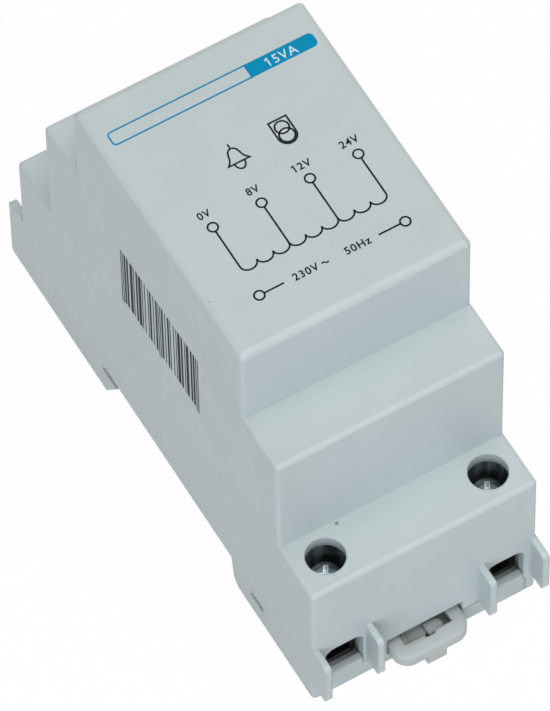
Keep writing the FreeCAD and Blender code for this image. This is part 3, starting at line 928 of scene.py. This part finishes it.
def arc(x, y, across, down, start, end, steps):
    """Points of an elliptic arc in millimetres, from start to end in degrees."""
    turn = [math.radians(start + (end - start) * i / steps) for i in range(steps + 1)]
    return [(x + across * math.cos(a), y + down * math.sin(a)) for a in turn]


def ring(x, y, radius, sizes):
    return front_line(arc(x, y, radius, radius, 0.0, 360.0, 40)[:-1], sizes, closed=True)


def figures(text, left, right, base, height, sizes, weight, lift=0.0):
    """Lettering set to a width and a height in millimetres on the front face."""
    leave_all()
    bpy.ops.object.text_add(location=(0, 0, 0))
    line = bpy.context.object
    line.data.body = text
    line.data.size = 1.4 * height * MM
    line.data.space_character = 1.15
    line.data.resolution_u = 6
    line.data.extrude = sizes.film / 2
    line.data.offset = weight
    bpy.ops.object.convert(target="MESH")
    piece = bpy.context.object
    xs = [v.co.x for v in piece.data.vertices]
    wide = (right - left) * MM / (max(xs) - min(xs))
    tall = height * MM / max(v.co.y for v in piece.data.vertices)
    piece.scale = (wide, tall, 1.0)
    level = FRONT_Z + sizes.film / 2 - INK_SINK + lift
    piece.location = (left * MM - min(xs) * wide, base * MM, level)
    settle(piece)
    close_shell(piece)
    if text[0] == "1":
        # The typeface's 1 has no flag, so one is drawn, placed by shares of the height
        shares = ((0.08, 0.95), (-0.2, 0.74))
        flag = [(left + x * height, base + y * height) for x, y in shares]
        piece = joined([piece, front_line(flag, sizes, 0.15 * height * MM, lift=lift)])
    return piece


def block_print(x0, x1, y0, y1, corner, sizes):
    """A printed block with its right-hand corners rounded."""
    leave_all()
    centre = ((x0 + x1) / 2 * MM, (y0 + y1) / 2 * MM, FRONT_Z - INK_SINK)
    bpy.ops.mesh.primitive_plane_add(size=1.0, location=centre)
    piece = bpy.context.object
    piece.scale = ((x1 - x0) * MM, (y1 - y0) * MM, 1.0)
    settle(piece)
    bpy.ops.object.mode_set(mode="EDIT")
    bpy.ops.mesh.select_mode(type="VERT")
    bpy.ops.mesh.select_all(action="DESELECT")
    book = bmesh.from_edit_mesh(piece.data)
    for vertex in book.verts:
        vertex.select_set(vertex.co.x > (x1 - 0.01) * MM)
    bmesh.update_edit_mesh(piece.data)
    bpy.ops.mesh.bevel(offset=corner * MM, segments=6, affect="VERTICES")
    bpy.ops.mesh.select_all(action="SELECT")
    bpy.ops.mesh.extrude_region_move(TRANSFORM_OT_translate={"value": (0, 0, sizes.film)})
    bpy.ops.object.mode_set(mode="OBJECT")
    close_shell(piece)
    return piece


def strip_outline(x0, x1, y0, y1, corner):
    """The left part of the strip's outline: two long lines joined by a round end."""
    top = [(x1, y1)] + arc(x0 + corner, y1 - corner, corner, corner, 90.0, 180.0, 6)
    return top + arc(x0 + corner, y0 + corner, corner, corner, 180.0, 270.0, 6) + [(x1, y0)]


class BELL_OT_rating_strip(bpy.types.Operator):
    """Prints the blue strip with its filled block and the rating"""

    bl_idname = "bell.rating_strip"
    bl_label = "Rating strip"

    def execute(self, context):
        sizes = context.scene.bell_print
        blue = printed_ink("blue ink", sizes.strip_colour)
        pale = printed_ink("pale ink", sizes.rating_colour)
        block = block_print(*RATING_BLOCK, sizes)
        outline = front_line(strip_outline(*RATING_OUTLINE), sizes, sizes.strip_line)
        dress(joined([block, outline]), "rating_strip", "housing", blue)
        left, right, foot, tall, weight = 8.75, 13.25, 15.25, 1.4, 0.3 * sizes.figure_weight
        rating = figures("15VA", left, right, foot, tall, sizes, weight, sizes.film)
        dress(rating, "rating_figures", "housing", pale)
        return {"FINISHED"}


class BELL_OT_symbols(bpy.types.Operator):
    """Prints the bell and the sign of a safety transformer"""

    bl_idname = "bell.symbols"
    bl_label = "Symbols"

    def execute(self, context):
        sizes = context.scene.bell_print
        ink = printed_ink("black ink", sizes.ink_colour)
        x, stem = -2.52, (6.6, 7.45)
        rim = BELL_HALF[-1][1]
        bell = [(x + a, b) for a, b in BELL_HALF] + [(x - a, b) for a, b in BELL_HALF[:0:-1]]
        clapper = arc(x, rim, 0.78, 1.1, 180.0, 360.0, 16)
        pieces = [
            front_line(bell, sizes, 0.26 * MM, closed=True),
            front_line([(x, y) for y in stem], sizes, 0.24 * MM),
            front_line(clapper, sizes, 0.26 * MM),
        ]
        dress(joined(pieces), "bell_symbol", "housing", ink)
        x, top, upper, lower, half_wide = 5.17, 7.4, 6.02, 4.62, 1.38
        bowl = arc(x, lower, half_wide, half_wide, 180.0, 360.0, 24)
        shield = [(x - half_wide, top)] + bowl + [(x + half_wide, top)]
        pieces = [
            front_line(shield, sizes, 0.27 * MM, closed=True),
            ring(x, upper, 1.0, sizes),
            ring(x, lower, 1.1, sizes),
        ]
        dress(joined(pieces), "safety_symbol", "housing", ink)
        return {"FINISHED"}


class BELL_OT_circuit(bpy.types.Operator):
    """Prints the circuit: terminal rings, tapped winding and line terminals"""

    bl_idname = "bell.circuit"
    bl_label = "Circuit"

    def execute(self, context):
        sizes = context.scene.bell_print
        ink = bpy.data.materials["black ink"]
        left, right, row, line_row, winding = -10.73, 11.84, -2.87, -15.2, -10.12
        loops, loop_drop, text_left, text_right = 9, 1.02, -6.95, 7.7
        radius = sizes.ring_radius / MM
        pitch = (right - left) / loops
        taps = [left, left + 3 * pitch, left + 6 * pitch, right]
        pieces = []
        for n in range(loops):
            x = left + (n + 0.5) * pitch
            loop = arc(x, winding, pitch / 2, loop_drop, 180.0, 360.0, 14)
            pieces.append(front_line(loop, sizes))
        pieces += [front_line([(x, row - radius), (x, winding)], sizes) for x in taps]
        pieces += [ring(x, row, radius, sizes) for x in taps]
        pieces += [ring(x, line_row, radius, sizes) for x in (left, right)]
        pieces.append(front_line([(left + radius, line_row), (text_left, line_row)], sizes))
        pieces.append(front_line([(text_right, line_row), (right - radius, line_row)], sizes))
        dress(joined(pieces), "circuit_lines", "housing", ink)
        return {"FINISHED"}


class BELL_OT_figures(bpy.types.Operator):
    """Prints the voltages and the frequency beside the terminals"""

    bl_idname = "bell.figures"
    bl_label = "Figures"

    def execute(self, context):
        sizes = context.scene.bell_print
        ink = bpy.data.materials["black ink"]
        tall, weight = sizes.figure_height / MM, sizes.figure_weight
        pieces = [
            figures(text, left, right, foot, tall, sizes, weight)
            for text, left, right, foot in FIGURES
        ]
        # The sign for alternating current: one wave in ten steps, in millimetres
        left, level, step, swing = -1.1, -15.24, 0.1, 0.15
        tilde = [
            (left + step * i, level + swing * math.sin(math.tau * i / 10)) for i in range(11)
        ]
        pieces.append(front_line(tilde, sizes, 0.22 * MM))
        dress(joined(pieces), "voltage_figures", "housing", ink)
        return {"FINISHED"}


class BELL_OT_side_bars(bpy.types.Operator):
    """Prints a made-up bar pattern on the long side"""

    bl_idname = "bell.side_bars"
    bl_label = "Side bars"

    def execute(self, context):
        sizes = context.scene.bell_print
        ink = bpy.data.materials["black ink"]
        # In millimetres: the first bar's edge, the tops, and the feet of bars and guard bars;
        # the tops rise by lean for each millimetre along the row
        start, top, foot, guard, lean = 10.6, 47.35, 34.6, 33.9, 0.033
        module = sizes.bar_module / MM
        rise = Vector((-sizes.film, 0, 0))
        x = SIDE_X + INK_SINK
        steps = SIDE_HALF + (1, 1, 1) + SIDE_HALF[::-1]
        pieces = []
        for count in range(0, len(steps), 2):
            at, wide = sum(steps[:count]), steps[count]
            # Guard bars stand at both ends and in the middle
            last, centre = len(steps), len(steps) // 2
            long = count < 4 or count > last - 4 or abs(count - centre) < 3
            y = start - (at + wide / 2) * module
            heights = (guard if long else foot, top + lean * (start - y))
            ends = [Vector((x, y * MM, height * MM)) for height in heights]
            pieces.append(ink_chain(ends, rise, wide * module * MM))
        dress(joined(pieces), "side_bars", "housing", ink)
        return {"FINISHED"}


# Studio


def seen_directly(tree):
    """1 for camera, mirror and glass rays, and 0 for the light that falls on things."""
    path = add(tree, "ShaderNodeLightPath")
    total = path.outputs["Is Camera Ray"]
    for name in ("Is Glossy Ray", "Is Transmission Ray"):
        both = add(tree, "ShaderNodeMath", operation="ADD", use_clamp=True)
        tree.links.new(total, both.inputs[0])
        tree.links.new(path.outputs[name], both.inputs[1])
        total = both.outputs["Value"]
    return total


def floor_finish(tint):
    """A pale floor that is seen as white and keeps a faint shadow."""
    material = bpy.data.materials.new("pale floor")
    material.use_nodes = True
    tree = material.node_tree
    tree.nodes.remove(tree.nodes["Principled BSDF"])
    matt = add(tree, "ShaderNodeBsdfDiffuse", {"Color": tuple(tint) + (1.0,)})
    white = add(tree, "ShaderNodeEmission", {"Color": (1, 1, 1, 1), "Strength": 1.0})
    weight = maths(tree, "MULTIPLY", seen_directly(tree), FLOOR_WHITE)
    mixed = add(tree, "ShaderNodeMixShader")
    tree.links.new(weight, mixed.inputs["Fac"])
    tree.links.new(matt.outputs["BSDF"], mixed.inputs[1])
    tree.links.new(white.outputs["Emission"], mixed.inputs[2])
    tree.links.new(mixed.outputs["Shader"], tree.nodes["Material Output"].inputs["Surface"])
    return material


def room_light(scene, strength):
    world = bpy.data.worlds.new("room")
    scene.world = world
    world.use_nodes = True
    tree = world.node_tree
    soft = tree.nodes["Background"]
    soft.inputs["Color"].default_value = (0.97, 0.99, 1.0, 1.0)
    soft.inputs["Strength"].default_value = strength
    white = add(tree, "ShaderNodeBackground", {"Color": (1, 1, 1, 1), "Strength": 1.0})
    mixed = add(tree, "ShaderNodeMixShader")
    tree.links.new(seen_directly(tree), mixed.inputs["Fac"])
    tree.links.new(soft.outputs["Background"], mixed.inputs[1])
    tree.links.new(white.outputs["Background"], mixed.inputs[2])
    tree.links.new(mixed.outputs["Shader"], tree.nodes["World Output"].inputs["Surface"])


def lamp(name, place, size, watts, tint):
    leave_all()
    bpy.ops.object.light_add(type="AREA", location=place)
    light = bpy.context.object
    light.name = name
    light.data.shape = "SQUARE"
    light.data.size = size
    light.data.energy = watts
    light.data.color = tint
    light.rotation_euler = (LAMP_AIM - Vector(place)).to_track_quat("-Z", "Y").to_euler()


class BELL_OT_stage(bpy.types.Operator):
    """Sets the pale floor, the soft lamps and the camera"""

    bl_idname = "bell.stage"
    bl_label = "Stage"

    def execute(self, context):
        scene = context.scene
        sizes = scene.bell_stage
        leave_all()
        level = cad_low.z - FLOOR_GAP
        bpy.ops.mesh.primitive_plane_add(size=sizes.floor_size, location=(0, 0, level))
        floor = context.object
        floor.name = "floor"
        floor.data.materials.append(floor_finish(sizes.floor_colour))
        room_light(scene, sizes.world_strength)
        for name, (place, size, tint) in LAMPS.items():
            lamp(name + " lamp", place, size, getattr(sizes, name + "_power"), tint)
        leave_all()
        bpy.ops.object.camera_add(location=sizes.camera_place)
        camera = context.object
        right = Vector(sizes.camera_right).normalized()
        up = Vector(sizes.camera_up)
        back = right.cross(up).normalized()
        up = back.cross(right)
        turn = Matrix((right, up, back)).transposed().to_4x4()
        camera.matrix_world = Matrix.Translation(sizes.camera_place) @ turn
        camera.data.sensor_width = 36.0
        camera.data.lens = sizes.lens
        camera.data.clip_start = 0.05
        camera.data.clip_end = 50.0
        scene.camera = camera
        scene.view_settings.view_transform = "Standard"
        return {"FINISHED"}


OPERATORS = (
    BELL_OT_mouldings,
    BELL_OT_screw_wells,
    BELL_OT_clamp_screws,
    BELL_OT_clamps,
    BELL_OT_transformer,
    BELL_OT_rating_strip,
    BELL_OT_symbols,
    BELL_OT_circuit,
    BELL_OT_figures,
    BELL_OT_side_bars,
    BELL_OT_stage,
)


class BELL_PT_sidebar(bpy.types.Panel):
    """Lists the settings and the steps that dress the transformer"""

    bl_idname = "BELL_PT_sidebar"
    bl_label = "Bell transformer"
    bl_space_type = "VIEW_3D"
    bl_region_type = "UI"
    bl_category = "Bell transformer"

    def draw(self, context):
        for name, group in GROUPS.items():
            box = self.layout.box()
            settings = getattr(context.scene, name)
            for key in group.__annotations__:
                box.prop(settings, key)
        for step in OPERATORS:
            self.layout.operator(step.bl_idname)


def register():
    for name, group in GROUPS.items():
        bpy.utils.register_class(group)
        setattr(bpy.types.Scene, name, PointerProperty(type=group))
    for part in OPERATORS + (BELL_PT_sidebar,):
        bpy.utils.register_class(part)


def unregister():
    for part in reversed(OPERATORS + (BELL_PT_sidebar,)):
        bpy.utils.unregister_class(part)
    for name, group in reversed(GROUPS.items()):
        delattr(bpy.types.Scene, name)
        bpy.utils.unregister_class(group)


def main():
    register()
    bpy.ops.bell.mouldings()
    bpy.ops.bell.screw_wells()
    bpy.ops.bell.clamp_screws()
    bpy.ops.bell.clamps()
    bpy.ops.bell.transformer()
    bpy.ops.bell.rating_strip()
    bpy.ops.bell.symbols()
    bpy.ops.bell.circuit()
    bpy.ops.bell.figures()
    bpy.ops.bell.side_bars()
    bpy.ops.bell.stage()


if __name__ == "__main__":
    main()
